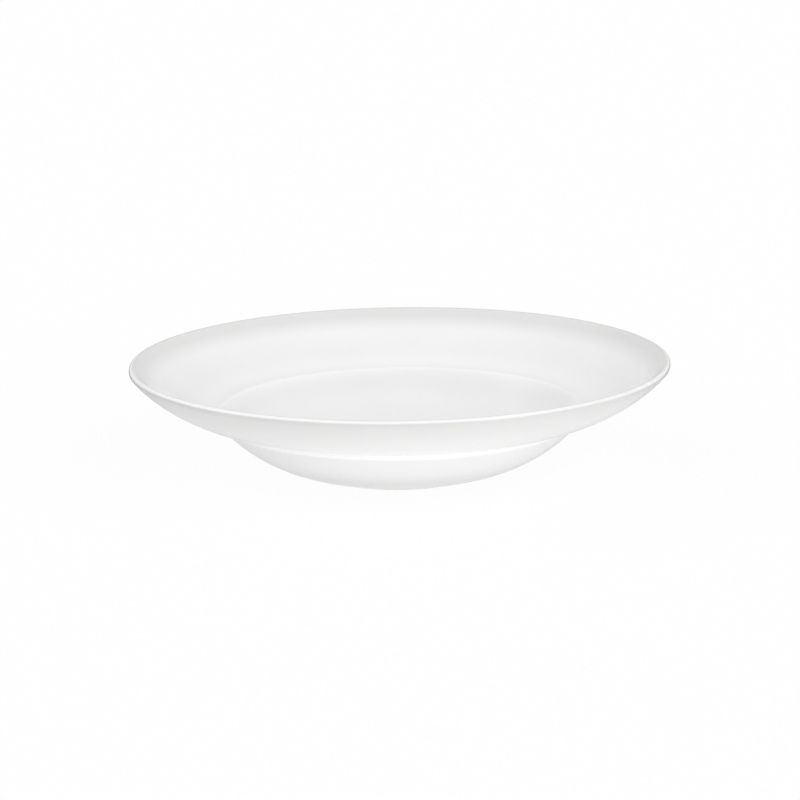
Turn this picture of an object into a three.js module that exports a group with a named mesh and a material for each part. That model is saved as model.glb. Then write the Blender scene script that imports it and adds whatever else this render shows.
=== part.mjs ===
// Soup plate: a deep porcelain plate with a wide, dished rim, turned about its upright axis.
// One pressed body carries a fired glaze everywhere but on the foot ring that it stands on,
// so the glaze lies in two patches: one over the face, lip and back, and one inside the foot ring.
// Millimetres, +Z up, origin at the middle of the circle that the foot stands on.
import * as THREE from "three";
import { mergeGeometries, mergeVertices } from "three/addons/utils/BufferGeometryUtils.js";

// The finished plate, measured over its glaze
const PLATE_DIAMETER = 230;
const PLATE_HEIGHT = 47.2;
const WELL_MOUTH_DIAMETER = 152.6;
const WELL_DEPTH = 20.5;
const FLOOR_DIAMETER = 72;
const FLOOR_THICKNESS = 4;
const WALL_THICKNESS = 3.8;
const WALL_RADIUS = 66;
const RIM_THICKNESS = 3.1;
const RIM_RADIUS = 62;
const MOUTH_ROUND = 1.5;
const CORNER_FILLET = 3;
const RECESS_DEPTH = 2.4;
const RECESS_FILLET = 1.2;

// The bare foot ring, and the glaze that stops short of it
const FOOT_DIAMETER = 78;
const FOOT_WIDTH = 3.6;
const FOOT_HEIGHT = 0.6;
const FOOT_BEVEL = 1.2;
const FOOT_DRAFT = THREE.MathUtils.degToRad(25);
const FOOT_EDGE_ROUND = 0.4;
const GLAZE_THICKNESS = 0.3;

// Facets: steps round the axis, and along each stretch of the outline
const STEPS_AROUND = 60;
const STEPS = { wall: 6, corner: 3, rim: 5, lip: 2, lipTop: 3, mouth: 3, well: 5, recess: 2, footEdge: 2 };

const at = (r, z) => new THREE.Vector2(r, z);
const bearing = (from, to) => Math.atan2(to.y - from.y, to.x - from.x);
const grown = ({ centre, radius }, by) => ({ centre, radius: radius + by });

// The crossing of two circles that lies nearest to a point.
function meeting(a, b, near) {
  const between = b.centre.clone().sub(a.centre);
  const reach = (a.radius ** 2 - b.radius ** 2 + between.lengthSq()) / (2 * between.length());
  const middle = a.centre.clone().add(between.clone().setLength(reach));
  const aside = at(-between.y, between.x).setLength(Math.sqrt(a.radius ** 2 - reach ** 2));
  const crossings = [middle.clone().add(aside), middle.clone().sub(aside)];
  return crossings.sort((p, q) => p.distanceTo(near) - q.distanceTo(near))[0];
}

// A stretch of the outline along a circle, the short way from the bearing of one point to another's.
// The glaze and the body follow it at different depths under the surface: where the centre lies
// in the air the radius grows with depth, and where it lies inside the ware it shrinks.
function arc(circle, from, to, steps, centreInAir) {
  const start = bearing(circle.centre, from);
  const turn = bearing(circle.centre, to) - start;
  const sweep = Math.atan2(Math.sin(turn), Math.cos(turn));
  return (depth) => {
    const radius = circle.radius + (centreInAir ? depth : -depth);
    const { x, y } = circle.centre;
    return new THREE.ArcCurve(x, y, radius, start, start + sweep, sweep < 0).getPoints(steps);
  };
}

// A straight stretch of the outline, with the air on the right of its direction of travel.
function line(from, to) {
  const along = to.clone().sub(from).normalize();
  const inward = at(-along.y, along.x);
  return (depth) => [from, to].map((p) => p.clone().addScaledVector(inward, depth));
}

// A round between two straight edges that meet at a corner, and where it leaves each of them.
function rounded(before, corner, after, radius) {
  const back = before.clone().sub(corner).normalize();
  const ahead = after.clone().sub(corner).normalize();
  const half = back.angleTo(ahead) / 2;
  const centre = corner.clone().add(back.clone().add(ahead).setLength(radius / Math.sin(half)));
  const trim = radius / Math.tan(half);
  const start = corner.clone().addScaledVector(back, trim);
  const end = corner.clone().addScaledVector(ahead, trim);
  return { centre, radius, start, end };
}

// The points of a run of stretches at a depth under the surface, each joint counted once.
function points(stretches, depth) {
  return stretches.flatMap((stretch, i) => stretch(depth).slice(i === 0 ? 0 : 1));
}

// The face: a flat floor, the hollow wall of the well up to its mouth, and the dished rim up to the lip.
const aboveAll = at(0, PLATE_DIAMETER);
const floorEdge = at(FLOOR_DIAMETER / 2, RECESS_DEPTH + FLOOR_THICKNESS);
const mouth = at(WELL_MOUTH_DIAMETER / 2, floorEdge.y + WELL_DEPTH);
const wellRadius = ((mouth.x - floorEdge.x) ** 2 + WELL_DEPTH ** 2) / (2 * WELL_DEPTH);
const well = { centre: at(floorEdge.x, floorEdge.y + wellRadius), radius: wellRadius };

const lipRadius = RIM_THICKNESS / 2;
const lip = { centre: at(PLATE_DIAMETER / 2 - lipRadius, PLATE_HEIGHT - lipRadius), radius: lipRadius };
const lipWidest = at(PLATE_DIAMETER / 2, lip.centre.y);
const lipHighest = at(lip.centre.x, PLATE_HEIGHT);
const rimCentre = meeting(
  { centre: mouth, radius: RIM_RADIUS },
  { centre: lip.centre, radius: RIM_RADIUS + lipRadius },
  aboveAll,
);
const rimFace = { centre: rimCentre, radius: RIM_RADIUS };

// The back: the rim keeps its thickness, and the corner under the mouth is a wall's thickness off the well.
const rimBack = grown(rimFace, RIM_THICKNESS);
const corner = meeting(rimBack, grown(well, WALL_THICKNESS), mouth);
const footRadius = FOOT_DIAMETER / 2;
const glazeLine = at(footRadius + FOOT_BEVEL, FOOT_HEIGHT);
const wallCentre = meeting(
  { centre: glazeLine, radius: WALL_RADIUS },
  { centre: corner, radius: WALL_RADIUS },
  aboveAll,
);
const wallBack = { centre: wallCentre, radius: WALL_RADIUS };

// The rounds where these surfaces meet: the mouth of the well, and the corner behind it.
const mouthRound = {
  centre: meeting(grown(well, MOUTH_ROUND), grown(rimFace, MOUTH_ROUND), mouth),
  radius: MOUTH_ROUND,
};
const cornerFillet = {
  centre: meeting(grown(rimBack, CORNER_FILLET), grown(wallBack, CORNER_FILLET), corner),
  radius: CORNER_FILLET,
};

// The glazed outline: up the back from the glaze line, over the lip, and down the face to the axis.
const coated = [
  arc(wallBack, glazeLine, cornerFillet.centre, STEPS.wall, false),
  arc(cornerFillet, wallBack.centre, rimBack.centre, STEPS.corner, true),
  arc(rimBack, cornerFillet.centre, lip.centre, STEPS.rim, false),
  arc(lip, lip.centre.clone().multiplyScalar(2).sub(rimCentre), lipWidest, STEPS.lip, false),
  arc(lip, lipWidest, lipHighest, STEPS.lipTop, false),
  arc(lip, lipHighest, rimCentre, STEPS.lip, false),
  arc(rimFace, lip.centre, mouthRound.centre, STEPS.rim, true),
  arc(mouthRound, rimFace.centre, well.centre, STEPS.mouth, false),
  arc(well, mouthRound.centre, floorEdge, STEPS.well, true),
  line(floorEdge, at(0, floorEdge.y)),
];

// The recess inside the foot ring: a flat roof and its fillet, glazed, above the ring's bare side.
const standInner = at(footRadius - FOOT_WIDTH, 0);
const recessAxis = at(0, RECESS_DEPTH);
const recessCorner = at(standInner.x - RECESS_DEPTH * Math.tan(FOOT_DRAFT), RECESS_DEPTH);
const recessRound = rounded(recessAxis, recessCorner, standInner, RECESS_FILLET);
const recess = [
  line(recessAxis, recessRound.start),
  arc(recessRound, recessRound.start, recessRound.end, STEPS.recess, true),
];

// The body's outline: the glazed stretches one glaze thickness down, with the bare foot between them.
const bodyRecess = points(recess, GLAZE_THICKNESS);
const bodyCoated = points(coated, GLAZE_THICKNESS);
const standOuter = at(footRadius, 0);
const innerEdge = rounded(bodyRecess.at(-1), standInner, standOuter, FOOT_EDGE_ROUND);
const outerEdge = rounded(standInner, standOuter, bodyCoated[0], FOOT_EDGE_ROUND);
const bareFoot = [innerEdge, outerEdge].flatMap((edge) =>
  arc(edge, edge.start, edge.end, STEPS.footEdge, false)(0),
);

// The surface that an outline sweeps about the upright axis.
function turned(outline) {
  const surface = new THREE.LatheGeometry(outline, STEPS_AROUND).rotateX(Math.PI / 2);
  surface.deleteAttribute("normal");
  surface.deleteAttribute("uv");
  return surface;
}

// The same surface facing the other way.
function turnedInsideOut(outline) {
  const surface = turned(outline);
  const corners = surface.getIndex().array;
  for (let i = 0; i < corners.length; i += 3) {
    [corners[i], corners[i + 1]] = [corners[i + 1], corners[i]];
  }
  return surface;
}

// A named solid from the surfaces that close it.
function solid(name, surfaces, color, roughness) {
  const geometry = mergeVertices(mergeGeometries(surfaces));
  geometry.computeVertexNormals();
  const mesh = new THREE.Mesh(geometry, new THREE.MeshStandardMaterial({ color, roughness, metalness: 0 }));
  mesh.name = name;
  return mesh;
}

const BISCUIT = 0xe9e6df;
const WHITE_GLAZE = 0xf1f1ef;

const soupPlate = new THREE.Group();
soupPlate.name = "soup_plate";
soupPlate.add(
  // The fired body, which shows only on the foot ring.
  solid("porcelain_body", [turned([...bodyRecess, ...bareFoot, ...bodyCoated])], BISCUIT, 0.75),
  // The glaze over the face, lip and back.
  solid(
    "glaze_coat",
    [turned([bodyCoated[0], ...points(coated, 0)]), turnedInsideOut(bodyCoated)],
    WHITE_GLAZE,
    0.06,
  ),
  // The glaze inside the foot ring.
  solid(
    "base_glaze",
    [turned([...points(recess, 0), bodyRecess.at(-1)]), turnedInsideOut(bodyRecess)],
    WHITE_GLAZE,
    0.06,
  ),
);

export default soupPlate;
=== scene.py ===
"""Soup plate: the looks of a glazed porcelain soup plate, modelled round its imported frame."""
import math
from typing import NamedTuple

import bpy
from bpy.props import FloatProperty, FloatVectorProperty, IntProperty, PointerProperty
from mathutils import Matrix, Vector


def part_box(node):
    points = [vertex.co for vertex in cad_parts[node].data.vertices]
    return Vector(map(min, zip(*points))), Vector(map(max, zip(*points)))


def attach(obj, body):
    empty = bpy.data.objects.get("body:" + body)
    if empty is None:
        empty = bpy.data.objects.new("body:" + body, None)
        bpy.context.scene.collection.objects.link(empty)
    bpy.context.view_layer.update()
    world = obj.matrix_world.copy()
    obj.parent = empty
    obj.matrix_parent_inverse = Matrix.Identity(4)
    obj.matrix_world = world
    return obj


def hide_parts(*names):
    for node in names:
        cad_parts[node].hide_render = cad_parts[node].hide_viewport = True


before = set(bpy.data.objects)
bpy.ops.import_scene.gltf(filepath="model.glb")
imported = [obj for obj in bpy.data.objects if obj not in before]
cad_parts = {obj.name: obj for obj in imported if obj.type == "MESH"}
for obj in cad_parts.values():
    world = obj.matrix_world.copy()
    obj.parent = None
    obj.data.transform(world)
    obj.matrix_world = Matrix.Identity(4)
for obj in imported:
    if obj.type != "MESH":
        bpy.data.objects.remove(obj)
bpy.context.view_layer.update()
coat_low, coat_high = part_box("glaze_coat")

bl_info = {
    "name": "Soup plate",
    "version": (1, 0, 0),
    "blender": (4, 5, 0),
    "location": "View3D > Sidebar > Plate",
    "description": "Models a glazed porcelain soup plate and the studio it stands in",
    "category": "Object",
}

MM = 0.001
BODY = "root"
WHITE = (1.0, 1.0, 1.0, 1.0)


# Settings


def length(name, metres, description):
    return FloatProperty(
        name=name, description=description, default=metres, min=0.0, unit="LENGTH", precision=5
    )


def angle(name, degrees, description):
    return FloatProperty(name=name, description=description, default=math.radians(degrees), subtype="ANGLE")


def colour(name, red, green, blue, description):
    return FloatVectorProperty(
        name=name, description=description, default=(red, green, blue), min=0.0, max=1.0, subtype="COLOR"
    )


def share(name, value, description):
    return FloatProperty(
        name=name, description=description, default=value, min=0.0, max=1.0, subtype="FACTOR"
    )


def level(name, value, description):
    return FloatProperty(name=name, description=description, default=value, min=0.0)


def steps(name, count, description):
    return IntProperty(name=name, description=description, default=count, min=2)


class PlateShape(bpy.types.PropertyGroup):
    """Sizes of the plate. Its width and height come from the frame."""

    diameter: length("Diameter", coat_high.x - coat_low.x, "Width over the lip")
    height: length("Height", coat_high.z, "Height of the lip above the table")
    mouth_diameter: length("Well mouth", 152.6 * MM, "Width of the well where it meets the rim")
    well_depth: length("Well depth", 20.5 * MM, "Depth of the floor under the mouth of the well")
    floor_diameter: length("Flat floor", 72 * MM, "Width of the flat part of the floor")
    floor_thickness: length("Floor thickness", 4 * MM, "Thickness of the floor over the recess")
    wall_thickness: length("Wall thickness", 3.8 * MM, "Thickness of the well's wall at its mouth")
    wall_radius: length("Wall radius", 66 * MM, "Radius of the back of the wall in section")
    rim_thickness: length("Rim thickness", 3.1 * MM, "Thickness of the rim and of its rolled lip")
    rim_radius: length("Rim radius", 62 * MM, "Radius of the dished face of the rim in section")
    mouth_round: length("Mouth round", 1.5 * MM, "Round on the edge between rim and well")
    corner_fillet: length("Corner fillet", 3 * MM, "Fillet where the rim leaves the back of the wall")
    recess_depth: length("Recess depth", 2.4 * MM, "Depth of the recess inside the foot ring")
    recess_fillet: length("Recess fillet", 1.2 * MM, "Fillet under the roof of the recess")
    foot_diameter: length("Foot diameter", 78 * MM, "Width over the standing edge of the foot ring")
    foot_width: length("Foot width", 3.6 * MM, "Width of the standing edge")
    foot_height: length("Foot height", 0.6 * MM, "Height of the glaze line above the table")
    foot_bevel: length("Foot bevel", 1.2 * MM, "Width of the bare bevel outside the standing edge")
    foot_draft: angle("Foot draft", 25, "Lean of the foot ring's inner side")
    foot_edge_round: length("Foot edge round", 0.4 * MM, "Round on the edges of the standing face")
    glaze_thickness: length("Glaze thickness", 0.3 * MM, "Thickness of the fired glaze")
    section_steps: steps("Section steps", 16, "Facets along each stretch of the section")
    round_steps: steps("Round steps", 240, "Facets round the axis")


class PlateFinish(bpy.types.PropertyGroup):
    """Colours and gloss of the glaze and of the bare foot."""

    glaze_white: colour("Glaze white", 0.91, 0.91, 0.907, "Colour of the glaze")
    glaze_cool: colour("Glaze cool", 0.894, 0.896, 0.897, "Colour that the glaze drifts to in places")
    # Painted shade: the next colour darkens the glaze towards the lip, the foot, the recess and the well's
    # top; it is not thin glaze.
    glaze_painted_shade: colour("Glaze thin", 0.76, 0.76, 0.755, "Colour where the body shows through thin glaze")
    # Painted highlight: the next colour lightens the glaze under the rim's root, near the mouth, on the
    # lip's crest and along the mouth; it is not gathered glaze.
    glaze_painted_highlight: colour("Glaze full", 0.98, 0.98, 0.977, "Colour where the glaze has gathered")
    # Painted shade: the next colour is a thin dark outline painted just inside the lip, not glaze run off
    # an edge.
    glaze_edge: colour("Glaze edge", 0.72, 0.72, 0.714, "Colour where the glaze has run off an edge")
    glaze_roughness: share("Glaze roughness", 0.05, "Roughness of the fired glaze")
    glaze_dulling: level("Glaze dulling", 1.6, "How many times rougher the glaze is where it has drifted")
    glaze_drift: level("Glaze drift", 30.0, "Scale of the slow drift in tone and height")
    glaze_fine: level("Glaze fine", 260.0, "Scale of the fine ripple")
    glaze_fine_share: share("Glaze fine share", 0.01, "Height of the fine ripple against the slow one")
    glaze_ripple: length("Glaze ripple", 0.006 * MM, "Height of the slow ripple")
    glaze_ior: level("Glaze IOR", 1.52, "Index of refraction of the glaze")
    biscuit_pale: colour("Biscuit pale", 0.80, 0.78, 0.73, "Colour of the bare porcelain")
    biscuit_dark: colour("Biscuit dark", 0.68, 0.65, 0.59, "Colour of the grain in the bare porcelain")
    biscuit_worn: colour("Biscuit worn", 0.52, 0.50, 0.47, "Colour of the standing edge, greyed by tables")
    biscuit_roughness: share("Biscuit roughness", 0.75, "Roughness of the bare porcelain")
    biscuit_polish: share("Biscuit polish", 0.7, "Share of the roughness that is left on the worn edge")
    biscuit_coarse: level("Biscuit coarse", 700.0, "Scale of the coarse grain and of the grinding lines")
    biscuit_fine: level("Biscuit fine", 3000.0, "Scale of the fine grain")
    biscuit_fine_share: share("Biscuit fine share", 0.6, "Height of the fine grain against the coarse one")
    biscuit_grain: length("Biscuit grain", 0.02 * MM, "Height of the grain and of the grinding lines")
    foot_wear: share("Foot wear", 0.7, "How far the standing edge is worn")
    foot_wear_reach: length("Foot wear reach", 3 * MM, "Distance from the standing edge at which wear ends")


class StudioSettings(bpy.types.PropertyGroup):
    """Camera, floor and light."""

    camera_distance: length("Camera distance", 1.38, "Distance from the camera to the foot of the plate")
    camera_elevation: angle("Camera elevation", 14.14, "Height of the camera seen from the foot")
    camera_roll: angle("Camera roll", 0.78, "Lean of the camera")
    aim_height: length("Aim height", 29.5 * MM, "Height of the point on the axis that the camera looks at")
    lens: FloatProperty(
        name="Lens", description="Focal length on a full-frame sensor", default=144.7, unit="CAMERA"
    )
    floor_radius: length("Floor radius", 3.0, "Radius of the round floor")
    floor_sides: steps("Floor sides", 96, "Corners of the round floor")
    floor_white: share("Floor white", 0.92, "Brightness of the floor where the camera sees it")
    floor_fill: share("Floor fill", 0.95, "How far the floor's shadow is lifted where the camera sees it")
    white_mirror: share("White mirror", 0.2, "How much of the camera's white shows in reflections")
    table_white: share("Table white", 0.12, "Share of the light on it that the milky table sends back")
    table_glow: level("Table glow", 1.17, "Level of the light that comes up through the milky table")
    glow_front: length("Glow front", 80 * MM, "Distance of the table's glow in front of the axis")
    glow_right: length("Glow right", 10 * MM, "Distance of the table's glow right of the axis")
    glow_reach: length("Glow reach", 360 * MM, "Distance at which the table's glow has faded out")
    mat_shade: level("Mat shade", 0.36, "How much of the table's glow a mat under the plate holds back")
    mat_radius: length("Mat radius", 120 * MM, "Distance from the axis at which the mat has faded out")
    backdrop_white: share("Backdrop white", 0.99, "Level of the backdrop, as the camera sees it")
    sky_level: level("Sky level", 0.675, "Level of the light from all round")


# The half-section, whose points are (radius, height)


def at(radius, height):
    return Vector((radius, height))


def bearing(start, end):
    return math.atan2(end.y - start.y, end.x - start.x)


class Circle(NamedTuple):
    """A circle in the half-section."""

    centre: Vector
    radius: float

    def grown(self, by):
        return Circle(self.centre, self.radius + by)


def meeting(a, b, near):
    """The crossing of two circles that lies nearest to a point."""
    between = b.centre - a.centre
    reach = (a.radius**2 - b.radius**2 + between.length_squared) / (2 * between.length)
    middle = a.centre + between.normalized() * reach
    aside = at(-between.y, between.x).normalized() * math.sqrt(a.radius**2 - reach**2)
    return min((middle + aside, middle - aside), key=lambda point: (point - near).length)


def rounded(before, corner, after, radius):
    """The round between two straight edges that meet at a corner, and its two ends."""
    back = (before - corner).normalized()
    ahead = (after - corner).normalized()
    half = back.angle(ahead) / 2
    centre = corner + (back + ahead).normalized() * radius / math.sin(half)
    trim = radius / math.tan(half)
    return Circle(centre, radius), corner + back * trim, corner + ahead * trim


def arc(circle, start, end, depth=0.0):
    """A Bezier stretch along a circle, the short way from the bearing of one point to another's.

    A depth leaves the surface towards the ware, which lies on the left of the direction of travel.
    """
    first = bearing(circle.centre, start)
    turn = bearing(circle.centre, end) - first
    sweep = math.atan2(math.sin(turn), math.cos(turn))
    radius = circle.radius - math.copysign(depth, sweep)
    reach = 4 / 3 * math.tan(sweep / 4) * radius
    outward = at(math.cos(first), math.sin(first))
    arrived = at(math.cos(first + sweep), math.sin(first + sweep))
    p = circle.centre + outward * radius
    q = circle.centre + arrived * radius
    return (p, p + at(-outward.y, outward.x) * reach, q - at(-arrived.y, arrived.x) * reach, q)


def line(start, end, depth=0.0):
    """A straight Bezier stretch, with a depth as an arc has."""
    along = (end - start).normalized()
    inward = at(-along.y, along.x) * depth
    p = start + inward
    q = end + inward
    return (p, p.lerp(q, 1 / 3), p.lerp(q, 2 / 3), q)


def backwards(stretches):
    return [stretch[::-1] for stretch in reversed(stretches)]


class PlateSection:
    """The half-section of the plate, as the circles that its outline follows."""

    def __init__(self, shape):
        above_all = at(0, shape.diameter)
        self.floor_edge = at(shape.floor_diameter / 2, shape.recess_depth + shape.floor_thickness)
        self.mouth = at(shape.mouth_diameter / 2, self.floor_edge.y + shape.well_depth)
        well_reach = self.mouth.x - self.floor_edge.x
        well_radius = (well_reach**2 + shape.well_depth**2) / (2 * shape.well_depth)
        self.well = Circle(at(self.floor_edge.x, self.floor_edge.y + well_radius), well_radius)

        lip_radius = shape.rim_thickness / 2
        self.lip = Circle(at(shape.diameter / 2 - lip_radius, shape.height - lip_radius), lip_radius)
        rim_centre = meeting(
            Circle(self.mouth, shape.rim_radius),
            Circle(self.lip.centre, shape.rim_radius + lip_radius),
            above_all,
        )
        self.rim_face = Circle(rim_centre, shape.rim_radius)
        self.rim_back = self.rim_face.grown(shape.rim_thickness)

        self.corner = meeting(self.rim_back, self.well.grown(shape.wall_thickness), self.mouth)
        self.glaze_line = at(shape.foot_diameter / 2 + shape.foot_bevel, shape.foot_height)
        wall_centre = meeting(
            Circle(self.glaze_line, shape.wall_radius), Circle(self.corner, shape.wall_radius), above_all
        )
        self.wall_back = Circle(wall_centre, shape.wall_radius)

        mouth_centre = meeting(
            self.well.grown(shape.mouth_round), self.rim_face.grown(shape.mouth_round), self.mouth
        )
        self.mouth_round = Circle(mouth_centre, shape.mouth_round)
        fillet_centre = meeting(
            self.rim_back.grown(shape.corner_fillet), self.wall_back.grown(shape.corner_fillet), self.corner
        )
        self.corner_fillet = Circle(fillet_centre, shape.corner_fillet)

        self.stand_outer = at(shape.foot_diameter / 2, 0)
        self.stand_inner = at(self.stand_outer.x - shape.foot_width, 0)
        self.stand_round = shape.foot_edge_round
        self.recess_axis = at(0, shape.recess_depth)
        side = shape.recess_depth * math.tan(shape.foot_draft)
        self.recess_corner = at(self.stand_inner.x - side, shape.recess_depth)
        self.recess_round = rounded(
            self.recess_axis, self.recess_corner, self.stand_inner, shape.recess_fillet
        )

    def on_lip(self, turn):
        """The point of the lip at a turn up from its widest place."""
        return self.lip.centre + at(math.cos(turn), math.sin(turn)) * self.lip.radius

    def coated(self, depth):
        """From the glaze line up the back, over the lip and down the face to the axis."""
        lip = self.lip.centre
        rim_middle = self.corner.lerp(lip, 0.5)
        lip_widest = self.on_lip(0)
        lip_highest = self.on_lip(math.pi / 2)
        return [
            arc(self.wall_back, self.glaze_line, self.corner_fillet.centre, depth),
            arc(self.corner_fillet, self.wall_back.centre, self.rim_back.centre, depth),
            arc(self.rim_back, self.corner_fillet.centre, rim_middle, depth),
            arc(self.rim_back, rim_middle, lip, depth),
            arc(self.lip, lip * 2 - self.rim_face.centre, lip_widest, depth),
            arc(self.lip, lip_widest, lip_highest, depth),
            arc(self.lip, lip_highest, self.rim_face.centre, depth),
            arc(self.rim_face, lip, self.mouth_round.centre, depth),
            arc(self.mouth_round, self.rim_face.centre, self.well.centre, depth),
            arc(self.well, self.mouth_round.centre, self.floor_edge, depth),
            line(self.floor_edge, at(0, self.floor_edge.y), depth),
        ]

    def recess(self, depth):
        """From the axis along the roof of the recess and round its fillet."""
        fillet, start, end = self.recess_round
        return [line(self.recess_axis, start, depth), arc(fillet, start, end, depth)]

    def bare_foot(self, start, end):
        """The standing edge of the foot ring, between the recess and the wall."""
        inner, inner_start, inner_end = rounded(start, self.stand_inner, self.stand_outer, self.stand_round)
        outer, outer_start, outer_end = rounded(self.stand_inner, self.stand_outer, end, self.stand_round)
        return [
            line(start, inner_start),
            arc(inner, inner_start, inner_end),
            line(inner_end, outer_start),
            arc(outer, outer_start, outer_end),
            line(outer_end, end),
        ]


def glaze_edge(face_end, body_end, before):
    """The half-round edge in which a glaze ends, from its face to the body."""
    middle = face_end.lerp(body_end, 0.5)
    edge = Circle(middle, (body_end - face_end).length / 2)
    tip = middle + (face_end - before).normalized() * edge.radius
    return [arc(edge, face_end, tip), arc(edge, tip, body_end)]


def glaze_shell(face, body):
    """The section of a glaze skin: from the axis along its face, round its edge and back along the body."""
    edge = glaze_edge(face[-1][-1], body[-1][-1], face[-1][-2])
    return face + edge + backwards(body)


# Modelling

WELD_DISTANCE = 0.002 * MM


def spun(name, stretches, shape):
    """A closed piece, drawn as a Bezier half-section, made a mesh and spun about the axis."""
    bpy.ops.object.select_all(action="DESELECT")
    bpy.ops.curve.primitive_bezier_curve_add(location=(0, 0, 0))
    section = bpy.context.object
    section.name = name
    section.data.resolution_u = shape.section_steps
    spline = section.data.splines[0]
    spline.bezier_points.add(len(stretches) - 1)
    for knot in spline.bezier_points:
        knot.handle_left_type = "FREE"
        knot.handle_right_type = "FREE"
    for i, stretch in enumerate(stretches):
        start, leaving, arriving, end = (Vector((p.x, 0, p.y)) for p in stretch)
        spline.bezier_points[i].co = start
        spline.bezier_points[i].handle_right = leaving
        spline.bezier_points[i + 1].handle_left = arriving
        spline.bezier_points[i + 1].co = end
    bpy.ops.object.convert(target="MESH")
    piece = bpy.context.object
    bpy.ops.object.mode_set(mode="EDIT")
    bpy.ops.mesh.select_all(action="SELECT")
    bpy.ops.mesh.spin(steps=shape.round_steps, angle=math.tau, center=(0, 0, 0), axis=(0, 0, 1))
    bpy.ops.mesh.select_all(action="SELECT")
    bpy.ops.mesh.remove_doubles(threshold=WELD_DISTANCE)
    bpy.ops.mesh.normals_make_consistent(inside=False)
    bpy.ops.object.mode_set(mode="OBJECT")
    bpy.ops.object.shade_smooth()
    piece.data.name = name
    return piece


def finish_piece(piece, node, material):
    """Gives a piece its material and its body, and hides the node of the frame that it stands for."""
    piece.data.materials.append(material)
    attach(piece, BODY)
    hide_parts(node)


# Shared effects

NOISE_SPREAD = (0.3, 0.7)


def add_node(tree, kind, inputs, **settings):
    """Adds a shader node, gives each input a value or a link, and returns its outputs."""
    node = tree.nodes.new(kind)
    for name, value in settings.items():
        setattr(node, name, value)
    for name, value in inputs.items():
        if isinstance(value, bpy.types.NodeSocket):
            tree.links.new(value, node.inputs[name])
        else:
            node.inputs[name].default_value = value
    return node.outputs


def add_math(tree, operation, first, second):
    return add_node(tree, "ShaderNodeMath", {0: first, 1: second}, operation=operation)["Value"]


def add_mix(tree, factor, first, second):
    """Mixes two colours. The Mix node has sockets of the same names for numbers, so these go by place."""
    return add_node(tree, "ShaderNodeMix", {0: factor, 6: first, 7: second}, data_type="RGBA")[2]


def add_range(tree, value, low, high, new_low, new_high):
    """Maps a value from one range to another with soft ends."""
    ends = {"Value": value, "From Min": low, "From Max": high, "To Min": new_low, "To Max": new_high}
    return add_node(tree, "ShaderNodeMapRange", ends, interpolation_type="SMOOTHSTEP")["Result"]


def new_effect(name, inputs, outputs):
    """An empty node group, with its sockets' names and types."""
    tree = bpy.data.node_groups.new(name, "ShaderNodeTree")
    for socket, kind in inputs.items():
        tree.interface.new_socket(socket, in_out="INPUT", socket_type=kind)
    for socket, kind in outputs.items():
        tree.interface.new_socket(socket, in_out="OUTPUT", socket_type=kind)
    return tree, tree.nodes.new("NodeGroupInput").outputs, tree.nodes.new("NodeGroupOutput").inputs


def add_effect(tree, name, inputs):
    """Places a shared effect in a material, with values of its own."""
    return add_node(tree, "ShaderNodeGroup", inputs, node_tree=bpy.data.node_groups[name])


def make_ring_mask():
    """A soft mask along a circle round the axis, which places the glaze's painted shade and painted
    highlights, and where a foot wears.
    """
    inputs = {
        "Vector": "NodeSocketVector",
        "Radius": "NodeSocketFloat",
        "Height": "NodeSocketFloat",
        "Reach": "NodeSocketFloat",
        "Strength": "NodeSocketFloat",
    }
    tree, given, made = new_effect("Ring mask", inputs, {"Mask": "NodeSocketFloat"})
    place = add_node(tree, "ShaderNodeSeparateXYZ", {"Vector": given["Vector"]})
    flat = add_node(tree, "ShaderNodeCombineXYZ", {"X": place["X"], "Y": place["Y"]})
    radius = add_node(tree, "ShaderNodeVectorMath", {0: flat["Vector"]}, operation="LENGTH")
    aside = add_math(tree, "SUBTRACT", radius["Value"], given["Radius"])
    above = add_math(tree, "SUBTRACT", place["Z"], given["Height"])
    off = add_node(tree, "ShaderNodeCombineXYZ", {"X": aside, "Y": above})
    distance = add_node(tree, "ShaderNodeVectorMath", {0: off["Vector"]}, operation="LENGTH")
    mask = add_range(tree, distance["Value"], 0.0, given["Reach"], given["Strength"], 0.0)
    tree.links.new(mask, made["Mask"])


def make_two_scale_noise():
    """Noise at two scales: the slow one as a value, spread to its ends, and both together as a height."""
    inputs = {
        "Vector": "NodeSocketVector",
        "Slow scale": "NodeSocketFloat",
        "Fine scale": "NodeSocketFloat",
        "Fine share": "NodeSocketFloat",
    }
    outputs = {"Slow": "NodeSocketFloat", "Height": "NodeSocketFloat"}
    tree, given, made = new_effect("Two-scale noise", inputs, outputs)
    slow = add_node(
        tree, "ShaderNodeTexNoise", {"Vector": given["Vector"], "Scale": given["Slow scale"], "Detail": 1.0}
    )
    fine = add_node(
        tree, "ShaderNodeTexNoise", {"Vector": given["Vector"], "Scale": given["Fine scale"], "Detail": 2.0}
    )
    fine_part = add_math(tree, "MULTIPLY", fine["Fac"], given["Fine share"])
    tree.links.new(add_range(tree, slow["Fac"], *NOISE_SPREAD, 0.0, 1.0), made["Slow"])
    tree.links.new(add_math(tree, "ADD", slow["Fac"], fine_part), made["Height"])


# Materials

# Where along the section the glaze's painted shade and painted highlights lie, and how their borders blend
LIP_CREST_TURN = math.radians(50)
LIP_INSIDE_TURN = math.radians(100)
RIM_FOOT_SHARE = 0.14
WELL_TOP_SHARE = 0.12
WALL_TOP_SHARE = 0.14
ROOT_FADE_START = 1.2 * MM
ROOT_FADE_END = 2.8 * MM
SIDE_BLEND = 0.1
BOTH_SIDES = 1.0


def new_material(name):
    """A new material, its node tree, its Principled shader's inputs and its Object coordinates."""
    material = bpy.data.materials.new(name)
    material.use_nodes = True
    tree = material.node_tree
    place = add_node(tree, "ShaderNodeTexCoord", {})["Object"]
    return material, tree, tree.nodes["Principled BSDF"].inputs, place


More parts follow.
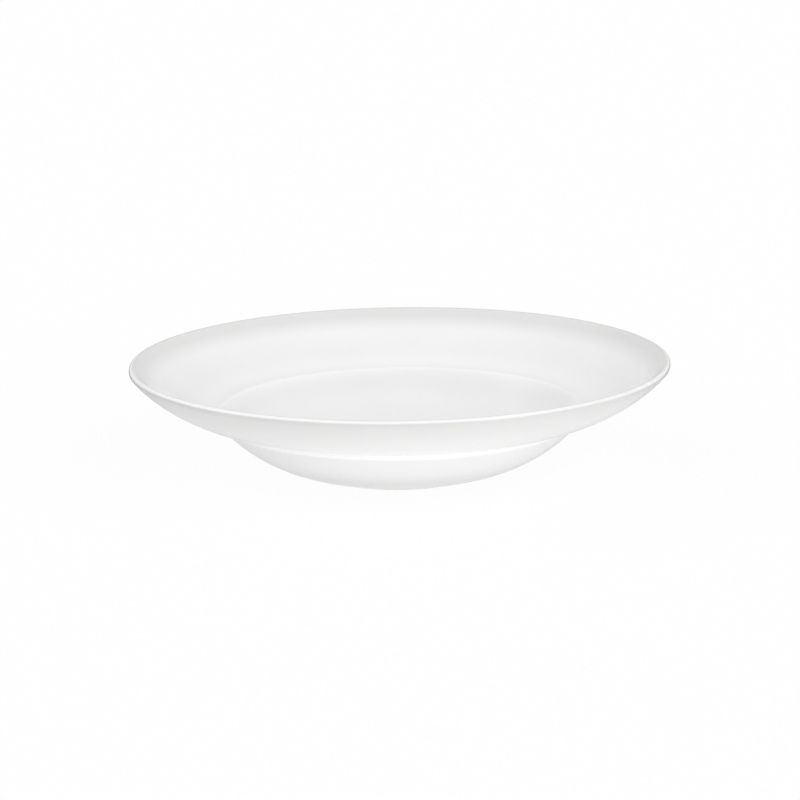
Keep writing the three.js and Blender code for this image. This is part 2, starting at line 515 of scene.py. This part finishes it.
def add_ring(tree, place, circle, reach, strength):
    """A mask along the circle that a point of the half-section sweeps."""
    inputs = {"Vector": place, "Radius": circle.x, "Height": circle.y, "Reach": reach, "Strength": strength}
    return add_effect(tree, "Ring mask", inputs)["Mask"]


def add_two_scale_noise(tree, place, slow, fine, fine_share):
    inputs = {"Vector": place, "Slow scale": slow, "Fine scale": fine, "Fine share": fine_share}
    return add_effect(tree, "Two-scale noise", inputs)


def add_bump(tree, height, distance):
    inputs = {"Height": height, "Distance": distance, "Strength": 1.0}
    return add_node(tree, "ShaderNodeBump", inputs)["Normal"]


def rgba(colour_setting):
    return (*colour_setting, 1.0)


class PaintedLightRing(NamedTuple):
    """A ring on one side of the plate in which the glaze takes another colour, as painted shade or a
    painted highlight.

    It runs about a point of the section, and covers it wholly near that point where its strength is over 1.
    """

    about: Vector
    reach: float
    strength: float
    side: object
    colour: Vector


def painted_light_rings(finish, section, face, back, under_rim):
    """Where the glaze's colour is painted darker as shade or lighter as highlights, in the order in which
    it takes its colours.
    """
    lip = section.lip.centre
    wall_top = section.corner.lerp(section.stand_outer, WALL_TOP_SHARE)
    well_top = section.mouth.lerp(section.floor_edge, WELL_TOP_SHARE)
    rim_foot = section.mouth.lerp(lip, RIM_FOOT_SHARE)
    lip_inside = section.on_lip(LIP_INSIDE_TURN)
    lip_crest = section.on_lip(LIP_CREST_TURN)
    # The first colour below is painted shade, the second painted highlight.
    painted_shade = finish.glaze_painted_shade
    painted_highlight = finish.glaze_painted_highlight
    return (
        # Painted shade: the face and the back darker towards the lip, and the top of the wall darker.
        PaintedLightRing(lip, reach=13 * MM, strength=1.25, side=face, colour=painted_shade),
        PaintedLightRing(lip, reach=44 * MM, strength=0.94, side=back, colour=painted_shade),
        PaintedLightRing(wall_top, reach=13 * MM, strength=0.26, side=back, colour=painted_shade),
        # Painted highlight: a bright band on the back under the rim's root.
        PaintedLightRing(section.corner, reach=21 * MM, strength=1.4, side=under_rim, colour=painted_highlight),
        # Painted shade: the wall darker towards the foot, the recess darker, and the well darker just
        # inside the mouth.
        PaintedLightRing(section.glaze_line, reach=40 * MM, strength=2.0, side=back, colour=painted_shade),
        PaintedLightRing(section.recess_axis, reach=30 * MM, strength=1.0, side=back, colour=painted_shade),
        PaintedLightRing(well_top, reach=12 * MM, strength=0.32, side=face, colour=painted_shade),
        # Painted highlight: the face lighter where the rim rises from the mouth.
        PaintedLightRing(rim_foot, reach=13 * MM, strength=0.55, side=face, colour=painted_highlight),
        # Painted shade: a thin dark line just inside the lip.
        PaintedLightRing(lip_inside, reach=1 * MM, strength=1.2, side=BOTH_SIDES, colour=finish.glaze_edge),
        # Painted highlights: a bright line on the lip's crest and along the mouth's edge.
        PaintedLightRing(lip_crest, reach=1.25 * MM, strength=1.5, side=BOTH_SIDES, colour=painted_highlight),
        PaintedLightRing(section.mouth, reach=1.4 * MM, strength=0.4, side=BOTH_SIDES, colour=painted_highlight),
    )


def glaze_sides(tree, place, section):
    """Masks of the plate's face, of its back, and of the back above the wall, with soft borders."""
    normal = add_node(tree, "ShaderNodeTexCoord", {})["Normal"]
    upward = add_node(tree, "ShaderNodeSeparateXYZ", {"Vector": normal})["Z"]
    face = add_range(tree, upward, -SIDE_BLEND, SIDE_BLEND, 0.0, 1.0)
    back = add_math(tree, "SUBTRACT", 1.0, face)
    height = add_node(tree, "ShaderNodeSeparateXYZ", {"Vector": place})["Z"]
    corner = section.corner.y
    over_wall = add_range(tree, height, corner - ROOT_FADE_END, corner - ROOT_FADE_START, 0.0, 1.0)
    return face, back, add_math(tree, "MULTIPLY", back, over_wall)


def glaze_material(finish, section):
    """Glossy white glaze: it drifts a little in tone and ripples, and its colour carries painted shade and
    painted highlights.
    """
    material, tree, shader, place = new_material("White glaze")
    noise = add_two_scale_noise(
        tree, place, finish.glaze_drift, finish.glaze_fine, finish.glaze_fine_share
    )
    colour_now = add_mix(tree, noise["Slow"], rgba(finish.glaze_white), rgba(finish.glaze_cool))
    # Each ring paints shade or a highlight into the glaze's colour.
    for tone in painted_light_rings(finish, section, *glaze_sides(tree, place, section)):
        ring = add_ring(tree, place, tone.about, tone.reach, tone.strength)
        mask = add_math(tree, "MULTIPLY", ring, tone.side)
        colour_now = add_mix(tree, mask, colour_now, rgba(tone.colour))
    tree.links.new(colour_now, shader["Base Color"])
    rough = finish.glaze_roughness
    drifted = add_range(tree, noise["Slow"], 0.0, 1.0, rough, finish.glaze_dulling * rough)
    tree.links.new(drifted, shader["Roughness"])
    tree.links.new(add_bump(tree, noise["Height"], finish.glaze_ripple), shader["Normal"])
    shader["IOR"].default_value = finish.glaze_ior
    return material


def biscuit_material(finish, section):
    """Bare fired porcelain: a fine grain, and a standing edge that is ground flat and greyed by use."""
    material, tree, shader, place = new_material("Bare porcelain")
    noise = add_two_scale_noise(
        tree, place, finish.biscuit_coarse, finish.biscuit_fine, finish.biscuit_fine_share
    )
    grained = add_mix(tree, noise["Slow"], rgba(finish.biscuit_pale), rgba(finish.biscuit_dark))
    stand_middle = section.stand_outer.lerp(section.stand_inner, 0.5)
    worn = add_ring(tree, place, stand_middle, finish.foot_wear_reach, finish.foot_wear)
    tree.links.new(add_mix(tree, worn, grained, rgba(finish.biscuit_worn)), shader["Base Color"])
    rough = finish.biscuit_roughness
    polished = add_range(tree, worn, 0.0, 1.0, rough, finish.biscuit_polish * rough)
    tree.links.new(polished, shader["Roughness"])
    ground = add_node(
        tree,
        "ShaderNodeTexWave",
        {"Vector": place, "Scale": finish.biscuit_coarse, "Distortion": 2.0, "Detail": 2.0},
        wave_type="RINGS",
        rings_direction="Z",
    )
    height = add_math(tree, "ADD", noise["Height"], add_math(tree, "MULTIPLY", ground["Fac"], worn))
    tree.links.new(add_bump(tree, height, finish.biscuit_grain), shader["Normal"])
    return material


def add_seen_share(tree, studio):
    """How far a ray meets the white that the camera sees: from the camera wholly, and mirrored in part."""
    path = add_node(tree, "ShaderNodeLightPath", {})
    mirrored = add_math(tree, "MAXIMUM", path["Is Glossy Ray"], path["Is Transmission Ray"])
    part = add_math(tree, "MULTIPLY", mirrored, studio.white_mirror)
    return add_math(tree, "MAXIMUM", path["Is Camera Ray"], part)


def floor_material(studio):
    """A milky table, lit from below in front of the plate. The camera sees white with a soft shadow."""
    material, tree, table, place = new_material("Floor white")
    table["Base Color"].default_value = rgba([studio.table_white] * 3)
    table["Roughness"].default_value = 1.0
    table["Specular IOR Level"].default_value = 0.0
    table["Emission Color"].default_value = WHITE
    middle = Vector((studio.glow_right, -studio.glow_front, 0))
    aside = add_node(tree, "ShaderNodeVectorMath", {0: place, 1: middle}, operation="DISTANCE")["Value"]
    glow = add_range(tree, aside, 0.0, studio.glow_reach, studio.table_glow, 0.0)
    radius = add_node(tree, "ShaderNodeVectorMath", {0: place}, operation="LENGTH")["Value"]
    shade = add_range(tree, radius, studio.mat_radius / 2, studio.mat_radius, studio.mat_shade, 0.0)
    tree.links.new(add_math(tree, "SUBTRACT", glow, shade), table["Emission Strength"])
    shaded = add_node(tree, "ShaderNodeBsdfDiffuse", {"Color": rgba([studio.floor_white] * 3)})
    white = add_node(tree, "ShaderNodeEmission", {"Strength": 1.0})
    seen = add_node(
        tree, "ShaderNodeMixShader", {0: studio.floor_fill, 1: shaded["BSDF"], 2: white["Emission"]}
    )
    glowing = tree.nodes["Principled BSDF"].outputs["BSDF"]
    share_seen = add_seen_share(tree, studio)
    floor = add_node(tree, "ShaderNodeMixShader", {0: share_seen, 1: glowing, 2: seen["Shader"]})
    below = add_node(tree, "ShaderNodeNewGeometry", {})["Backfacing"]
    clear = add_node(tree, "ShaderNodeBsdfTransparent", {})
    sided = add_node(tree, "ShaderNodeMixShader", {0: below, 1: floor["Shader"], 2: clear["BSDF"]})
    tree.links.new(sided["Shader"], tree.nodes["Material Output"].inputs["Surface"])
    return material


# Light


class Glow(NamedTuple):
    """A soft glow in the studio's sky, about a direction in degrees. A higher sharpness is narrower."""

    azimuth: float
    elevation: float
    sharpness: float
    level: float

    def direction(self):
        azimuth = math.radians(self.azimuth)
        elevation = math.radians(self.elevation)
        flat = Vector((math.cos(azimuth), math.sin(azimuth), 0)) * math.cos(elevation)
        return flat + Vector((0, 0, math.sin(elevation)))


GLOWS = (
    Glow(azimuth=325, elevation=35, sharpness=40, level=4.0),
    Glow(azimuth=303, elevation=12, sharpness=40, level=3.9),
    Glow(azimuth=180, elevation=30, sharpness=14, level=1.92),
)


def studio_world(studio):
    """A soft studio with glows in it, which the camera sees as white."""
    world = bpy.data.worlds.new("Studio")
    world.use_nodes = True
    tree = world.node_tree
    facing = add_node(tree, "ShaderNodeTexCoord", {})["Generated"]
    total = studio.sky_level
    for glow in GLOWS:
        along = add_node(
            tree, "ShaderNodeVectorMath", {0: facing, 1: glow.direction()}, operation="DOT_PRODUCT"
        )
        ahead = add_math(tree, "MAXIMUM", along["Value"], 0.0)
        spread = add_math(tree, "POWER", ahead, glow.sharpness)
        total = add_math(tree, "ADD", total, add_math(tree, "MULTIPLY", spread, glow.level))
    share_seen = add_seen_share(tree, studio)
    ends = {"Factor": share_seen, "A": total, "B": studio.backdrop_white}
    sky = tree.nodes["Background"].inputs
    sky["Color"].default_value = WHITE
    tree.links.new(add_node(tree, "ShaderNodeMix", ends)["Result"], sky["Strength"])
    return world


# Operators


class PLATE_OT_porcelain_body(bpy.types.Operator):
    """Model the fired body, which shows on the foot ring"""

    bl_idname = "plate.porcelain_body"
    bl_label = "Porcelain body"

    def execute(self, context):
        shape = context.scene.plate_shape
        section = PlateSection(shape)
        recess = section.recess(shape.glaze_thickness)
        coated = section.coated(shape.glaze_thickness)
        foot = section.bare_foot(recess[-1][-1], coated[0][0])
        piece = spun("plate_body", recess + foot + coated, shape)
        biscuit = biscuit_material(context.scene.plate_finish, section)
        finish_piece(piece, "porcelain_body", biscuit)
        return {"FINISHED"}


class PLATE_OT_glaze(bpy.types.Operator):
    """Model the glaze over the face, lip and back, and the patch of it inside the foot ring"""

    bl_idname = "plate.glaze"
    bl_label = "Glaze"

    def execute(self, context):
        shape = context.scene.plate_shape
        section = PlateSection(shape)
        glaze = glaze_material(context.scene.plate_finish, section)
        coat_face = backwards(section.coated(0))
        coat_body = backwards(section.coated(shape.glaze_thickness))
        coat = spun("plate_glaze", glaze_shell(coat_face, coat_body), shape)
        finish_piece(coat, "glaze_coat", glaze)
        patch_section = glaze_shell(section.recess(0), section.recess(shape.glaze_thickness))
        patch = spun("plate_base_glaze", patch_section, shape)
        finish_piece(patch, "base_glaze", glaze)
        return {"FINISHED"}


class PLATE_OT_studio(bpy.types.Operator):
    """Set up the floor, the light and the camera"""

    bl_idname = "plate.studio"
    bl_label = "Studio"

    def execute(self, context):
        studio = context.scene.plate_studio
        self.add_floor(context, studio)
        context.scene.world = studio_world(studio)
        self.add_camera(context, studio)
        context.scene.view_settings.view_transform = "Standard"
        return {"FINISHED"}

    def add_floor(self, context, studio):
        bpy.ops.object.select_all(action="DESELECT")
        bpy.ops.mesh.primitive_circle_add(
            vertices=studio.floor_sides, radius=studio.floor_radius, fill_type="NGON"
        )
        floor = context.object
        floor.name = "studio_floor"
        floor.data.materials.append(floor_material(studio))

    def add_camera(self, context, studio):
        distance = studio.camera_distance
        elevation = studio.camera_elevation
        place = Vector((0, -distance * math.cos(elevation), distance * math.sin(elevation)))
        aim = Vector((0, 0, studio.aim_height))
        bpy.ops.object.camera_add(location=place)
        camera = context.object
        camera.name = "studio_camera"
        facing = (aim - place).to_track_quat("-Z", "Y").to_matrix()
        camera.rotation_euler = (facing @ Matrix.Rotation(-studio.camera_roll, 3, "Z")).to_euler()
        camera.data.lens = studio.lens
        context.scene.camera = camera


OPERATORS = (PLATE_OT_porcelain_body, PLATE_OT_glaze, PLATE_OT_studio)


class VIEW3D_PT_plate(bpy.types.Panel):
    """The plate's pieces and settings"""

    bl_label = "Soup plate"
    bl_space_type = "VIEW_3D"
    bl_region_type = "UI"
    bl_category = "Plate"

    def draw(self, context):
        for operator in OPERATORS:
            self.layout.operator(operator.bl_idname)
        scene = context.scene
        for settings in (scene.plate_shape, scene.plate_finish, scene.plate_studio):
            for name in settings.__annotations__:
                self.layout.prop(settings, name)


CLASSES = (PlateShape, PlateFinish, StudioSettings, *OPERATORS, VIEW3D_PT_plate)


def register():
    for cls in CLASSES:
        bpy.utils.register_class(cls)
    bpy.types.Scene.plate_shape = PointerProperty(type=PlateShape)
    bpy.types.Scene.plate_finish = PointerProperty(type=PlateFinish)
    bpy.types.Scene.plate_studio = PointerProperty(type=StudioSettings)


def unregister():
    del bpy.types.Scene.plate_studio
    del bpy.types.Scene.plate_finish
    del bpy.types.Scene.plate_shape
    for cls in reversed(CLASSES):
        bpy.utils.unregister_class(cls)


def main():
    register()
    make_ring_mask()
    make_two_scale_noise()
    bpy.ops.plate.porcelain_body()
    bpy.ops.plate.glaze()
    bpy.ops.plate.studio()


if __name__ == "__main__":
    main()
